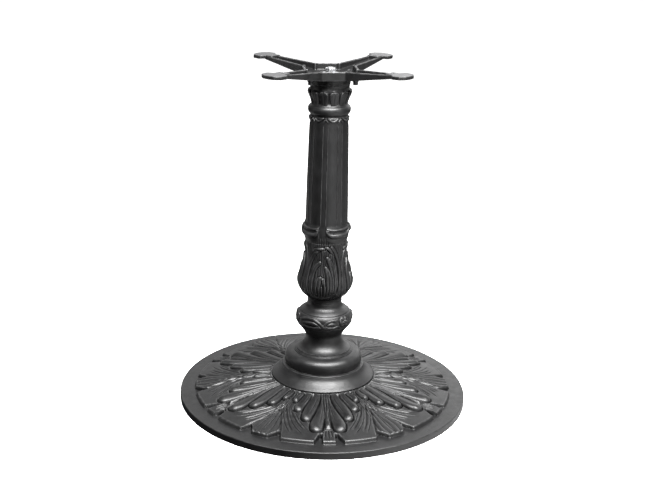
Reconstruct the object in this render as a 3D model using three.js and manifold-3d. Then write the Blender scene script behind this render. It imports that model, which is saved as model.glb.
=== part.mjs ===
// Ornamental cast-iron pedestal base for a round dining table: a relief-cast foot plate, a turned
// plinth, a three-casting column, a capital and a four-arm spider, all clamped by one tie rod.
// Millimetres, +Z up, origin on the floor under the middle of the column, main leaf towards -Y.
import * as THREE from "three";
import { mergeVertices } from "three/addons/utils/BufferGeometryUtils.js";
import Module from "manifold-3d";

const wasm = await Module();
wasm.setup();

// ---- driving sizes -------------------------------------------------------------------------------
const TABLE_FACE = 715; // top of the spider pads
const BASE_RADIUS = 305;
const SEAM = 0.3; // gap left between two pieces that touch
const BORE = 30; // hollow inside every column casting
const SPIGOT_LENGTH = 8;
const SPIGOT_WALL = 7;
const QUARTER = 90; // degrees between feet and between arms
const ROUND = 40; // facets around the wide pieces
const SLIM = 24; // facets around the column

// heights at which one casting ends and the next begins
const SEAT = 48; // base plate to plinth skirt
const SKIRT_TOP = 75.5;
const DOME_TOP = 109;
const KNOP_TOP = 216;
const VASE_TOP = 350;
const SHAFT_TOP = 613;
const CAPITAL_TOP = 677;

// how far each casting is turned from the plate's main leaf, degrees
const VASE_TURN = -7;
const SHAFT_TURN = -13;
const CAPITAL_TURN = 2;
const SPIDER_TURN = 4;

// base plate
const RIM_HEIGHT = 15;
const BORDER_HEIGHT = 16;
const RELIEF_RADIUS = 270;
const RELIEF_EDGE = 22;
const PLATE_WALL = 6;
const REGISTER = { inside: 85, outside: 97, height: 4 }; // ring that centres the plinth skirt
const NOTCHES = [
  { angle: 4.85, width: 18, apex: 240 },
  { angle: 23.1, width: 20, apex: 250 },
];

// levelling feet
const FOOT = { circle: 225, turn: 45, bossRadius: 11, bossFrom: 8.2, holeTop: 24 };
const STUD = { radius: 4, top: 22.5, hexFrom: 5.9, hexTo: 7.9, hexAcross: 13 };
const PAD = { radius: 15, from: 0.6, top: 5.6, socketFrom: 2.6 };

// spider
const HUB = { flat: 55, halfFlat: 26.5, under: 689.5, wallTop: 707.6, floor: 5, seatRadius: 24, seat: 695 };
const ARM = { from: 56, to: 160, halfAtHub: 22.5, halfAtPad: 13.5, wall: 4.5, underAtPad: 706.5 };
const ARM_TOP_AT_PAD = 713.5;
const ARM_PAD = { neck: 142, from: 158, tip: 192, half: 26, thick: 7, screwAt: 150, screwRadius: 3.2 };
const COLLAR_RADIUS = 41.3;

// fasteners
const ROD_RADIUS = 6;
const NUT_ACROSS = 19;
const NUT_HEIGHT = 9;
const LUG = { at: 63, radius: 7, seat: 689, holeTop: 695.5 };
const CAP_SCREW = { radius: 3, head: 5, headHeight: 6 };

// ---- finishes ------------------------------------------------------------------------------------
const IRON = { color: 0x1c1d1f, roughness: 0.5, metalness: 0.6 };
const ZINC = { color: 0xb9bcc0, roughness: 0.35, metalness: 0.9 };
const DARK_STEEL = { color: 0x232427, roughness: 0.45, metalness: 0.8 };
const NYLON = { color: 0x151515, roughness: 0.7, metalness: 0 };

// ---- helpers -------------------------------------------------------------------------------------
const radians = THREE.MathUtils.degToRad;

// A closed three.js geometry as a solid that can be added to and cut.
function solid(geometry) {
  geometry.deleteAttribute("normal");
  geometry.deleteAttribute("uv");
  const welded = mergeVertices(geometry, 1e-4);
  const corners = Array.from(welded.index.array);
  const faces = [];
  for (let i = 0; i < corners.length; i += 3) {
    const [a, b, c] = corners.slice(i, i + 3);
    if (a !== b && b !== c && c !== a) faces.push(a, b, c);
  }
  return new wasm.Manifold(new wasm.Mesh({
    numProp: 3,
    vertProperties: new Float32Array(welded.attributes.position.array),
    triVerts: new Uint32Array(faces),
  }));
}

// One named piece of the object.
function piece(name, body, finish) {
  const { vertProperties, triVerts } = body.getMesh();
  const geometry = new THREE.BufferGeometry();
  geometry.setAttribute("position", new THREE.BufferAttribute(new Float32Array(vertProperties), 3));
  geometry.setIndex(new THREE.BufferAttribute(new Uint32Array(triVerts), 1));
  geometry.computeVertexNormals();
  const mesh = new THREE.Mesh(geometry, new THREE.MeshStandardMaterial(finish));
  mesh.name = name;
  return mesh;
}

// A profile of [radius, height] corners, outside going up and inside coming down, turned about Z.
function turned(profile, facets = SLIM) {
  const closed = [...profile, profile[0]].map(([r, z]) => new THREE.Vector2(r, z));
  return solid(new THREE.LatheGeometry(closed, facets).rotateX(Math.PI / 2));
}

// A smooth line through the given [radius, height] points, as corners of a profile.
function flowing(points, pieces = 2) {
  const curve = new THREE.SplineCurve(points.map(([r, z]) => new THREE.Vector2(r, z)));
  return curve.getPoints(pieces * (points.length - 1)).map((p) => [p.x, p.y]);
}

function rod(radius, from, to, facets = 16) {
  const geometry = new THREE.CylinderGeometry(radius, radius, to - from, facets);
  return solid(geometry.rotateX(Math.PI / 2).translate(0, 0, (from + to) / 2));
}

function hexagon(acrossFlats, from, to) {
  return rod(acrossFlats / Math.sqrt(3), from, to, 6);
}

function ring(inside, outside, from, to, facets = 24) {
  return rod(outside, from, to, facets).subtract(rod(inside, from - 1, to + 1, facets));
}

// A plan outline of [x, y] corners raised from one height to another.
function upright(outline, from, to) {
  const shape = new THREE.Shape(outline.map(([x, y]) => new THREE.Vector2(x, y)));
  const depth = to - from;
  return solid(new THREE.ExtrudeGeometry(shape, { depth, bevelEnabled: false }).translate(0, 0, from));
}

// A side outline of [x, z] corners given a thickness centred on the XZ plane.
function sideways(outline, thickness) {
  const shape = new THREE.Shape(outline.map(([x, z]) => new THREE.Vector2(x, z)));
  const geometry = new THREE.ExtrudeGeometry(shape, { depth: thickness, bevelEnabled: false });
  return solid(geometry.rotateX(Math.PI / 2).translate(0, thickness / 2, 0));
}

function turn(body, degrees) {
  return body.rotate([0, 0, degrees]);
}

function shift(body, x, y, z = 0) {
  return body.translate([x, y, z]);
}

// The same body repeated around Z.
function around(body, count, first = 0) {
  let all = turn(body, first);
  for (let i = 1; i < count; i += 1) all = all.add(turn(body, first + (360 * i) / count));
  return all;
}

// A hollow column casting: an outside line from bottom to top, a chamber line from top to bottom,
// and a spigot that drops into the bore of the casting below.
function columnCasting(outside, chamber = []) {
  const bottom = outside[0][1];
  const top = outside[outside.length - 1][1];
  const spigotOutside = BORE - SEAM;
  const spigotInside = BORE - SPIGOT_WALL;
  return turned([
    ...outside,
    [BORE, top],
    ...chamber,
    [BORE, bottom + SPIGOT_LENGTH],
    [spigotInside, bottom + SPIGOT_LENGTH],
    [spigotInside, bottom - SPIGOT_LENGTH],
    [spigotOutside, bottom - SPIGOT_LENGTH],
    [spigotOutside, bottom],
  ]);
}

// ---- castings ------------------------------------------------------------------------------------

// Six raised leaves on the cone, each with a pointed tip and four round lobes a side.
function plateLeaves() {
  const proud = 2.5;
  const lobes = [[110, 14], [128, 34], [142, 64], [152, 62], [156, 46], [166, 44], [176, 59], [184, 54]];
  const outer = [[184, 38], [196, 36], [205, 44], [212, 38], [212, 24]];
  const tips = [[226, 18], [240, 26], [246, 18], [238, 8], [262, 5]];
  const side = [...lobes, ...outer, ...tips];
  const outline = [...side, ...side.map(([r, y]) => [r, -y]).reverse()];
  const low = RELIEF_RADIUS - 4;
  const high = REGISTER.outside + 7;
  const top = [[low, RELIEF_EDGE + proud], [high, SEAT]];
  const skin = turned([[low, RELIEF_EDGE - 4], ...top, [high, SEAT - 4]], ROUND);
  return around(upright(outline, 0, TABLE_FACE).intersect(skin), 6, -90);
}

// Wide hollow plate: flat border, then a low cone of leaf tabs rising to the plinth.
function basePlate() {
  const seatRadius = REGISTER.outside + 7;
  const under = SEAT - PLATE_WALL;
  let plate = turned([
    [BASE_RADIUS, 0],
    [BASE_RADIUS, RIM_HEIGHT - 2.5],
    [BASE_RADIUS - 1, RIM_HEIGHT - 0.7],
    [BASE_RADIUS - 3.5, RIM_HEIGHT],
    [RELIEF_RADIUS, BORDER_HEIGHT],
    [RELIEF_RADIUS - 1.5, RELIEF_EDGE],
    [seatRadius, SEAT],
    [REGISTER.outside, SEAT],
    [REGISTER.outside - 1, SEAT + REGISTER.height],
    [REGISTER.inside, SEAT + REGISTER.height],
    [REGISTER.inside, SEAT],
    [ROD_RADIUS + 0.5, SEAT],
    [ROD_RADIUS + 0.5, under],
    [seatRadius, under],
    [FOOT.circle, BORDER_HEIGHT + 4],
    [FOOT.circle + 13, BORDER_HEIGHT - PLATE_WALL],
    [BASE_RADIUS - PLATE_WALL, RIM_HEIGHT - PLATE_WALL],
    [BASE_RADIUS - PLATE_WALL, 0],
  ], ROUND);
  for (const { angle, width, apex } of NOTCHES) {
    const mouth = RELIEF_RADIUS + 6;
    const notch = upright([[apex, 0], [mouth, -width / 2], [mouth, width / 2]], BORDER_HEIGHT, SEAT);
    const facing = -90; // the main leaf points towards -Y
    plate = plate.subtract(around(notch, 6, facing + angle)).subtract(around(notch, 6, facing - angle));
  }
  plate = plate.add(plateLeaves());
  const boss = rod(FOOT.bossRadius, FOOT.bossFrom, FOOT.holeTop + 1);
  const hole = rod(STUD.radius + SEAM, FOOT.bossFrom - 1, FOOT.holeTop);
  const placed = (body) => around(shift(body, FOOT.circle, 0), 4, FOOT.turn);
  return plate.add(placed(boss)).subtract(placed(hole));
}

// Ogee moulding that hides the joint between the plate and the column.
function plinthSkirt() {
  const foot = SEAT + SEAM;
  return turned([
    [108.5, foot],
    [108.5, 51],
    [107, 52.5],
    ...flowing([[104.5, 53.5], [95, 57.5], [87.5, 68]]),
    [85.2, 72],
    [85.2, 74],
    [83.5, SKIRT_TOP],
    [66, SKIRT_TOP],
    [66, SKIRT_TOP - 7],
    [78, SKIRT_TOP - 7],
    [REGISTER.outside + SEAM, 56],
    [REGISTER.outside + SEAM, foot],
  ], ROUND);
}

// Domed drum with a stepped shoulder that carries the column.
function plinthDome() {
  const foot = SKIRT_TOP + SEAM;
  const locator = 66 - SEAM;
  return turned([
    [80.8, foot],
    [81.8, 84],
    [81.8, 91.5],
    ...flowing([[80, 96.6], [76.5, 100.6], [71.5, 103.2], [62.6, 104.8]], 1),
    [59, 107],
    [57, DOME_TOP],
    [BORE, DOME_TOP],
    [BORE, DOME_TOP - 8],
    [60, DOME_TOP - 12],
    [71, 88],
    [71, foot + 7],
    [locator - 6, foot + 7],
    [locator - 6, foot - 6],
    [locator, foot - 6],
    [locator, foot],
  ], ROUND);
}

// Flared foot, waist, and a knop banded with a wreath.
function knop() {
  const foot = DOME_TOP + SEAM;
  return columnCasting([
    ...flowing([[57, foot], [47.5, 116], [40, 127.5], [38, 140]]),
    ...flowing([[44, 151], [53.3, 161.3], [59.5, 171], [60.4, 181], [57.8, 190], [50, 197.5], [39.5, 204]]),
    [36.8, 209],
    [36.5, KNOP_TOP],
  ], [[BORE, 201], [44, 192], [51, 180], [47, 166], [BORE, 151]]);
}

const VASE_LINE = [
  [36.5, KNOP_TOP + SEAM],
  [36.8, 221],
  [38.5, 226],
  [43.6, 233],
  [52.4, 242.5],
  [56.6, 251],
  [57.8, 260],
  [56.8, 270],
  [53, 282.5],
  [49.6, 296],
  [46, 311],
  [45.3, 321],
  [44.3, 331],
  [42.3, 344],
  [42.3, VASE_TOP],
];

// Swelling vase clasped by four leaves.
function acanthusVase() {
  const proud = 1.4;
  const leafTop = 334;
  const chamber = [[35, 335], [39, 310], [45, 285], [51, 262], [46, 243], [BORE, 233]];
  const vase = columnCasting(flowing(VASE_LINE, 1), chamber);
  const skin = VASE_LINE.filter(([, z]) => z > 222 && z < 338).map(([r, z]) => [r + proud, z]);
  const mantle = turned([...skin, [BORE + 2, skin[skin.length - 1][1]], [BORE + 2, skin[0][1]]]);
  const half = [[0, 222], [20, 226], [31, 240], [34, 262], [30, 285], [23, 305], [12, 320], [0, leafTop]];
  const outline = [...half, ...half.slice(1, -1).reverse().map(([x, z]) => [-x, z])];
  const blade = shift(sideways(outline, 60), 0, -60);
  return turn(vase.add(around(blade.intersect(mantle), 4)), VASE_TURN);
}

// Tapering shaft with eight flutes above a band of four scrolls.
function flutedShaft() {
  const foot = VASE_TOP + SEAM;
  const flutes = { count: 8, from: 390, to: 615, radius: 18, depth: 3.4 };
  const bandTop = 389;
  const neckAtFoot = 43.2;
  const neckAtTop = 38.3;
  let shaft = columnCasting([
    [42.5, foot],
    [43.3, 353],
    ...flowing([[46, 357], [52, 364.5], [51.5, 374], [45, 383]]),
    [43.7, bandTop],
    [neckAtFoot, 395],
    [41.9, 475],
    [neckAtTop, 607],
    [neckAtTop, SHAFT_TOP],
  ], [[31, 600], [33, 400], [BORE + 2, 362]]);
  const length = flutes.to - flutes.from;
  const lean = Math.atan2(neckAtFoot - neckAtTop, length);
  const cutter = new THREE.CapsuleGeometry(flutes.radius, length - 2 * flutes.radius, 3, 18);
  cutter.rotateX(Math.PI / 2).rotateY(-lean);
  const middle = (neckAtFoot + neckAtTop) / 2;
  cutter.translate(middle + flutes.radius - flutes.depth, 0, (flutes.from + flutes.to) / 2);
  shaft = shaft.subtract(around(solid(cutter), flutes.count, 22.5));
  const gap = sideways([[0, 354], [9, bandTop + 6], [-9, bandTop + 6]], 14);
  const gaps = around(shift(gap, 0, -(44 + 7)), 4);
  return turn(shaft.subtract(gaps), SHAFT_TURN);
}

// Necking ring and a bell of eight leaves under the spider.
function capital() {
  const foot = SHAFT_TOP + SEAM;
  const bell = columnCasting([
    [38.2, foot],
    ...flowing([[39.5, 617], [43.4, 625.5], [38, 634.5]]),
    [36.6, 638],
    ...flowing([[38, 643], [43, 661], [39.6, 671]]),
    [41, CAPITAL_TOP],
  ]);
  const groove = shift(rod(3, 639, 668, 8), 44, 0);
  return turn(bell.subtract(around(groove, 8, 22.5)), CAPITAL_TURN);
}

// One open-topped arm reaching along +X, with the pad that the table top rests on.
function spiderArm() {
  const inner = ARM.from - 14;
  const slope = (ARM.underAtPad - HUB.under) / (ARM.to - ARM.from);
  const plan = (inset, to) => {
    const hub = ARM.halfAtHub - inset;
    const tip = ARM.halfAtPad - inset;
    const side = [[inner, -hub], [ARM.from, -hub], [to, -tip]];
    return upright([...side, ...side.map(([x, y]) => [x, -y]).reverse()], 600, 800);
  };
  const outside = sideways([
    [inner, HUB.under],
    [ARM.from, HUB.under],
    [ARM.to, ARM.underAtPad],
    [ARM.to, ARM_TOP_AT_PAD],
    [ARM.from, HUB.wallTop],
    [inner, HUB.wallTop],
  ], 80);
  const channelEnd = ARM_PAD.neck + 2;
  const channel = sideways([
    [inner, HUB.under + HUB.floor],
    [ARM.from, HUB.under + HUB.floor],
    [channelEnd, HUB.under + HUB.floor + (channelEnd - ARM.from) * slope - 2],
    [channelEnd, TABLE_FACE + 5],
    [inner, TABLE_FACE + 5],
  ], 80);
  const corners = [
    [ARM_PAD.neck, -13],
    [ARM_PAD.from, -13],
    [ARM_PAD.from + 5, -ARM_PAD.half + 2],
    [ARM_PAD.from + 10, -ARM_PAD.half],
    [ARM_PAD.tip - 10, -ARM_PAD.half + 2],
    [ARM_PAD.tip - 2, -14],
    [ARM_PAD.tip, -5],
  ];
  const outline = [...corners, ...corners.map(([x, y]) => [x, -y]).reverse()];
  const lug = shift(rod(LUG.radius, LUG.seat, LUG.seat + 6), LUG.at, 0);
  return {
    body: plan(0, ARM.to).intersect(outside).add(lug),
    channel: plan(ARM.wall, channelEnd).intersect(channel),
    pad: upright(outline, TABLE_FACE - ARM_PAD.thick, TABLE_FACE),
    holes: shift(rod(CAP_SCREW.radius + SEAM, LUG.seat - 1, LUG.holeTop, 12), LUG.at, 0)
      .add(shift(rod(ARM_PAD.screwRadius, 690, 730, 12), ARM_PAD.screwAt, 0)),
  };
}

// Four arms on an eight-sided open hub, cast in one.
function spider() {
  const octagon = (flat, half) => {
    const corner = [[flat, -half], [flat, half], [half, flat], [-half, flat]];
    return [...corner, ...corner.map(([x, y]) => [-x, -y])];
  };
  const arm = spiderArm();
  const four = (body) => around(body, 4, 45);
  const foot = CAPITAL_TOP + SEAM;
  const inset = HUB.flat - ARM.wall;
  const pocket = upright(octagon(inset, HUB.halfFlat - 1.9), HUB.under + HUB.floor, 730);
  const casting = upright(octagon(HUB.flat, HUB.halfFlat), HUB.under, HUB.wallTop)
    .add(four(arm.body))
    .subtract(pocket)
    .subtract(four(arm.channel))
    .add(four(arm.pad))
    .add(rod(HUB.seatRadius, HUB.under, HUB.seat, SLIM))
    .add(rod(COLLAR_RADIUS, foot, HUB.under + 1, SLIM))
    .add(rod(BORE - SEAM, foot - SPIGOT_LENGTH, foot + 1, SLIM))
    .subtract(rod(BORE - SPIGOT_WALL, foot - SPIGOT_LENGTH - 1, HUB.under, SLIM))
    .subtract(rod(ROD_RADIUS + 0.5, HUB.under - 1, HUB.seat + 1))
    .subtract(four(arm.holes));
  return turn(casting, SPIDER_TURN);
}

// ---- fasteners and feet --------------------------------------------------------------------------

// Central tie rod with a washer and nut at each end.
function tieRodSet() {
  const topWasher = { from: HUB.seat + SEAM, to: HUB.seat + SEAM + 2.5 };
  const topNut = { from: topWasher.to + SEAM, to: topWasher.to + SEAM + NUT_HEIGHT };
  const bottomWasher = { to: SEAT - PLATE_WALL - SEAM, from: SEAT - PLATE_WALL - SEAM - 4 };
  const bottomNut = { to: bottomWasher.from - SEAM, from: bottomWasher.from - SEAM - NUT_HEIGHT };
  const hole = ROD_RADIUS + SEAM;
  const nut = ({ from, to }) => hexagon(NUT_ACROSS, from, to).subtract(rod(hole, from - 1, to + 1));
  return [
    piece("tie_rod", rod(ROD_RADIUS, bottomNut.from - 5, topNut.to + 1.5), ZINC),
    piece("top_washer", ring(hole, 18, topWasher.from, topWasher.to), ZINC),
    piece("top_nut", nut(topNut), ZINC),
    piece("bottom_washer", ring(hole, 30, bottomWasher.from, bottomWasher.to), ZINC),
    piece("bottom_nut", nut(bottomNut), ZINC),
  ];
}

// Cap screw and washer screwed up into the lug under one arm, drawn on the arm's own line.
function armScrewSet(index) {
  const washer = { from: LUG.seat - SEAM - 1.6, to: LUG.seat - SEAM };
  const headTop = washer.from - SEAM;
  const socket = hexagon(5, headTop - CAP_SCREW.headHeight - 1, headTop - CAP_SCREW.headHeight + 3);
  const screw = rod(CAP_SCREW.head, headTop - CAP_SCREW.headHeight, headTop)
    .add(rod(CAP_SCREW.radius, headTop - 1, LUG.holeTop - 1, 12))
    .subtract(socket);
  const pieces = [
    piece(`arm_screw_${index}`, screw, DARK_STEEL),
    piece(`arm_washer_${index}`, ring(CAP_SCREW.radius + SEAM, 6, washer.from, washer.to, 16), DARK_STEEL),
  ];
  return placedOut(pieces, LUG.at, 45 + SPIDER_TURN + QUARTER * (index - 1));
}

// Levelling foot: a plastic pad on the floor and a threaded stud that turns in the plate's boss.
function footSet(index) {
  const pad = turned([
    [PAD.radius - 1.5, PAD.from],
    [PAD.radius, PAD.from + 1.5],
    [PAD.radius, PAD.top - 1.5],
    [PAD.radius - 3, PAD.top],
    [STUD.radius + SEAM, PAD.top],
    [STUD.radius + SEAM, PAD.socketFrom],
    [0, PAD.socketFrom],
    [0, PAD.from],
  ], 20);
  const stud = rod(STUD.radius, PAD.socketFrom + SEAM, STUD.top)
    .add(hexagon(STUD.hexAcross, STUD.hexFrom, STUD.hexTo));
  const pieces = [
    piece(`foot_pad_${index}`, pad, NYLON),
    piece(`foot_stud_${index}`, stud, ZINC),
  ];
  return placedOut(pieces, FOOT.circle, FOOT.turn + QUARTER * (index - 1));
}

// Moves pieces drawn on the axis out to a radius and angle.
function placedOut(pieces, radius, degrees) {
  for (const mesh of pieces) {
    mesh.position.set(radius * Math.cos(radians(degrees)), radius * Math.sin(radians(degrees)), 0);
    mesh.rotation.z = radians(degrees);
  }
  return pieces;
}

// ---- assembly ------------------------------------------------------------------------------------
const tableBase = new THREE.Group();
tableBase.name = "table_base";
tableBase.add(
  piece("base_plate", basePlate(), IRON),
  piece("plinth_skirt", plinthSkirt(), IRON),
  piece("plinth_dome", plinthDome(), IRON),
  piece("knop", knop(), IRON),
  piece("acanthus_vase", acanthusVase(), IRON),
  piece("fluted_shaft", flutedShaft(), IRON),
  piece("capital", capital(), IRON),
  piece("spider", spider(), IRON),
  ...tieRodSet(),
);
for (let index = 1; index <= 4; index += 1) {
  tableBase.add(...armScrewSet(index), ...footSet(index));
}

export default tableBase;
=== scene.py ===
"""Looks for an ornamental cast-iron pedestal table base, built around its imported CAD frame.

Every casting is a closed grid of points: a profile of [radius, height] in millimetres is turned about
the Z axis, and a relief (also millimetres) pushes each point out along the profile's normal. The foot
plate is the same grid with its relief added to its height instead.
"""

import math

import bmesh
import bpy
import numpy as np
from mathutils import Euler, Matrix, Vector


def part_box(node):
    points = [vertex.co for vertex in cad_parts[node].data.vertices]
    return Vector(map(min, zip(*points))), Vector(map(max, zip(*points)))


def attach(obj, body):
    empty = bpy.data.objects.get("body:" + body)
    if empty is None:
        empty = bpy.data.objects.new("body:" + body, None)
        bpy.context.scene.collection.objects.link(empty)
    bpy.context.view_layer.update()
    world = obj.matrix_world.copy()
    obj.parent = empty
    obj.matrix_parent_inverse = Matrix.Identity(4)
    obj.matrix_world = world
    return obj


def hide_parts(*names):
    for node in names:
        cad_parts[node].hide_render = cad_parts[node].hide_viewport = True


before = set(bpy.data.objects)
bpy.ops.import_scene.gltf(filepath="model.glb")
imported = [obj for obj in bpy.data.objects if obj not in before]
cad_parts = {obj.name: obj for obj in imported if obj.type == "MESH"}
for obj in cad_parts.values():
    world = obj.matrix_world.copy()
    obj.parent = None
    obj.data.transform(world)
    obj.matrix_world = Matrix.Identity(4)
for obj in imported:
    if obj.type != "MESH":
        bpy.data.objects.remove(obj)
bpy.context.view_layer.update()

MM = 0.001
ROOT = "table_frame"


# ---- sizes, mm -------------------------------------------------------------------------------------
def levels(node):
    """Heights of the bottom and the top of a CAD node, mm."""
    low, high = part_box(node)
    return round(low.z / MM, 2), round(high.z / MM, 2)


def middle(node):
    """Where the upright axis of a CAD node stands, mm."""
    low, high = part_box(node)
    return (low.x + high.x) / 2 / MM, (low.y + high.y) / 2 / MM


# heights at which one casting ends and the next begins
SEAT, SKIRT_TOP = levels("plinth_skirt")
DOME_TOP = levels("plinth_dome")[1]
KNOP_TOP = levels("knop")[1]
VASE_TOP = levels("acanthus_vase")[1]
SHAFT_TOP = levels("fluted_shaft")[1]
CAPITAL_TOP = levels("capital")[1]
TABLE_FACE = levels("spider")[1]
SEAM = 0.3
BORE = 30.0
SPIGOT_WALL = 7.0
SPIGOT_LENGTH = 8.0

# points round a plain casting, a carved one and the finely carved vase
PLAIN_COLUMNS = 360
CARVED_COLUMNS = 720
VASE_COLUMNS = 900

# turn of each casting from the plate's main leaf, degrees
KNOP_TURN = -4.5
VASE_TURN = -7.0
SHAFT_TURN = -13.0
CAPITAL_TURN = 9.7
SPIDER_TURN = 4.0

# foot plate: main leaves repeat round it, and each is the same on both sides of its middle
LEAVES = 6
HALF_LEAF = 30  # degrees
PLATE_COLUMNS = 1440
BASE_RADIUS = round(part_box("base_plate")[1].x / MM, 2)
BORDER_OUTER = 15.0
BORDER_INNER = 16.0
TAB_RADIUS = 275.0
TAB_DRAFT = 4.6
TAB_EDGE = 22.0
CONE_INNER = 104.0
CONE_TOP = 48.0


# ---- number helpers --------------------------------------------------------------------------------
def soft(low, high, x):
    """Smooth step from 0 at low to 1 at high."""
    t = np.clip((x - low) / (high - low), 0, 1)
    return t * t * (3 - 2 * t)


def bump(x, width):
    """Rounded bump of height 1 centred on 0."""
    return np.exp(-((x / width) ** 2))


def dome(x, half, power=2.0):
    """Rounded arch: 1 in the middle, 0 beyond half."""
    return np.sqrt(np.clip(1 - np.abs(x / half) ** power, 0, 1))


def flowing(points, step):
    """Smooth line through the points, resampled about every step."""
    p = np.asarray(points, float)
    ends = np.vstack([2 * p[0] - p[1], p, 2 * p[-1] - p[-2]])
    out = []
    for a, b, c, d in zip(ends, ends[1:], ends[2:], ends[3:]):
        count = max(2, int(math.ceil(np.linalg.norm(c - b) / step)))
        t = np.linspace(0, 1, count, endpoint=False)[:, None]
        out.append(0.5 * (2 * b + (c - a) * t + (2 * a - 5 * b + 4 * c - d) * t ** 2
                          + (3 * b - a - 3 * c + d) * t ** 3))
    return np.vstack(out + [p[-1:]])


def straight(points, step):
    """Straight lines through the points, resampled about every step."""
    p = np.asarray(points, float)
    out = []
    for b, c in zip(p, p[1:]):
        count = max(1, int(math.ceil(np.linalg.norm(c - b) / step)))
        out.append(b + (c - b) * np.linspace(0, 1, count, endpoint=False)[:, None])
    return np.vstack(out + [p[-1:]])


def rounded(points, radius, step=0.5):
    """Straight lines through the points with each inner corner rounded off."""
    p = np.asarray(points, float)
    out = [p[:1]]
    for a, b, c in zip(p, p[1:], p[2:]):
        reach = min(radius, 0.45 * np.linalg.norm(b - a), 0.45 * np.linalg.norm(c - b))
        start = b + (a - b) / np.linalg.norm(a - b) * reach
        end = b + (c - b) / np.linalg.norm(c - b) * reach
        t = np.linspace(0, 1, 5)[:, None]
        out.append((1 - t) ** 2 * start + 2 * t * (1 - t) * b + t ** 2 * end)
    return straight(np.vstack(out + [p[-1:]]), step)


def folded(angle, period):
    """Angle in degrees from the nearest multiple of the period."""
    return (angle + period / 2) % period - period / 2


# ---- mesh helpers ----------------------------------------------------------------------------------
def grid_object(name, points):
    """A mesh whose quads join points[row, column], closed in both directions."""
    rows, columns, _ = points.shape
    index = np.arange(rows * columns).reshape(rows, columns)
    over = np.roll(index, -1, 1)
    quads = np.stack([index, over, np.roll(over, -1, 0), np.roll(index, -1, 0)], -1).reshape(-1, 4)
    mesh = bpy.data.meshes.new(name)
    mesh.vertices.add(rows * columns)
    mesh.vertices.foreach_set("co", (points * MM).astype(np.float32).ravel())
    mesh.loops.add(quads.size)
    mesh.loops.foreach_set("vertex_index", quads.astype(np.int32).ravel())
    mesh.polygons.add(len(quads))
    mesh.polygons.foreach_set("loop_start", np.arange(0, quads.size, 4, dtype=np.int32))
    mesh.polygons.foreach_set("use_smooth", np.ones(len(quads), bool))
    mesh.update(calc_edges=True)
    mesh.validate()
    mesh.set_sharp_from_angle(angle=math.radians(50))
    shape = bpy.data.objects.new(name, mesh)
    bpy.context.scene.collection.objects.link(shape)
    return shape


def angles(columns):
    """Azimuth of each column in degrees, 0 towards -Y and counting towards +X."""
    return np.arange(columns) * 360 / columns


def turned(name, outside, inside, columns, relief=None, turn=0.0):
    """A closed casting: outside from bottom to top pushed out by relief(angle, height), then inside
    from top to bottom left plain."""
    step = np.gradient(outside, axis=0)
    length = np.maximum(np.linalg.norm(step, axis=1), 1e-9)
    normal = np.stack([step[:, 1], -step[:, 0]], 1) / length[:, None]
    around = angles(columns)
    push = np.zeros((len(outside), columns))
    if relief is not None:
        push = relief(around[None, :] + 0 * outside[:, 1:], outside[:, 1:] + 0 * around[None, :])
    radius = outside[:, :1] + normal[:, :1] * push
    height = outside[:, 1:] + normal[:, 1:] * push
    inside = np.asarray(inside, float)
    radius = np.vstack([radius, np.repeat(inside[:, :1], columns, 1)])
    height = np.vstack([height, np.repeat(inside[:, 1:], columns, 1)])
    azimuth = np.radians(around + turn)
    points = np.stack([radius * np.sin(azimuth), -radius * np.cos(azimuth), height], -1)
    return grid_object(name, points)


def column_inside(bottom, top, chamber=()):
    """Inner line of a column casting, top to bottom, with its spigot into the casting below."""
    spigot = BORE - SPIGOT_WALL
    return [
        [BORE, top], *chamber, [BORE, bottom + SPIGOT_LENGTH], [spigot, bottom + SPIGOT_LENGTH],
        [spigot, bottom - SPIGOT_LENGTH], [BORE - SEAM, bottom - SPIGOT_LENGTH], [BORE - SEAM, bottom],
    ]


# ---- foot plate ------------------------------------------------------------------------------------
# Fingers of the main leaf, seen in plan: x across the leaf, y out from the centre, half width, rise.
FINGERS = [
    [[45, 103, 5, 1.2], [52, 112, 6.5, 3.0], [58, 122, 7.4, 4.8], [60.5, 130, 7, 5.6]],
    [[33, 105, 6, 1.2], [39, 122, 8, 2.2], [46, 138, 9.6, 3.4], [53, 151, 10.2, 5.0], [56.5, 160, 9.8, 6.0]],
    [[15, 108, 6.5, 1.0], [19.5, 125, 8.5, 1.8], [26, 143, 10.8, 2.6], [33, 162, 12, 3.8],
     [39, 180, 11.8, 5.4], [41.8, 193, 11, 6.6]],
    [[5.8, 112, 2.2, 0.8], [7, 135, 3.2, 1.4], [9.2, 155, 5.0, 2.0], [13.4, 178, 8.6, 3.0],
     [18.6, 200, 12, 4.4], [22.3, 217, 13.6, 5.8], [23.2, 229, 12.6, 6.8]],
]
# Grooves of the side panels, [depth, width, path], and of the small fan in the middle tab.
PANEL_GROOVES = [
    [1.9, 1.9, [[79, 136], [80.5, 165], [79, 190], [76, 215], [69, 239]]],
    [2.1, 2.0, [[70, 146], [69, 172], [65, 190], [58, 211], [48, 233]]],
    [1.3, 1.1, [[75.5, 156], [74, 185], [69, 210], [60, 232], [50, 249]]],
    [1.5, 1.2, [[63, 172], [58, 194], [50, 215], [40, 235]]],
    [1.4, 1.2, [[85, 140], [87.5, 170], [86.5, 195], [83, 218], [76, 243]]],
    [2.4, 2.4, [[78, 112], [88, 150], [92, 185], [94, 215], [95.5, 250]]],
]
FAN_GROOVES = [
    [1.8, 1.2, [[0, 228], [0, 262]]],
    [1.8, 1.2, [[2.5, 229], [6, 243], [7.5, 258]]],
]
# Slots between the tabs, corner by corner.
SLOTS = [
    [[13.4, 246.0], [13.4, 290], [38.5, 290], [18.0, 246.0]],
    [[96.0, 230.5], [96.0, 292], [140.0, 256.5]],
]


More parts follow.
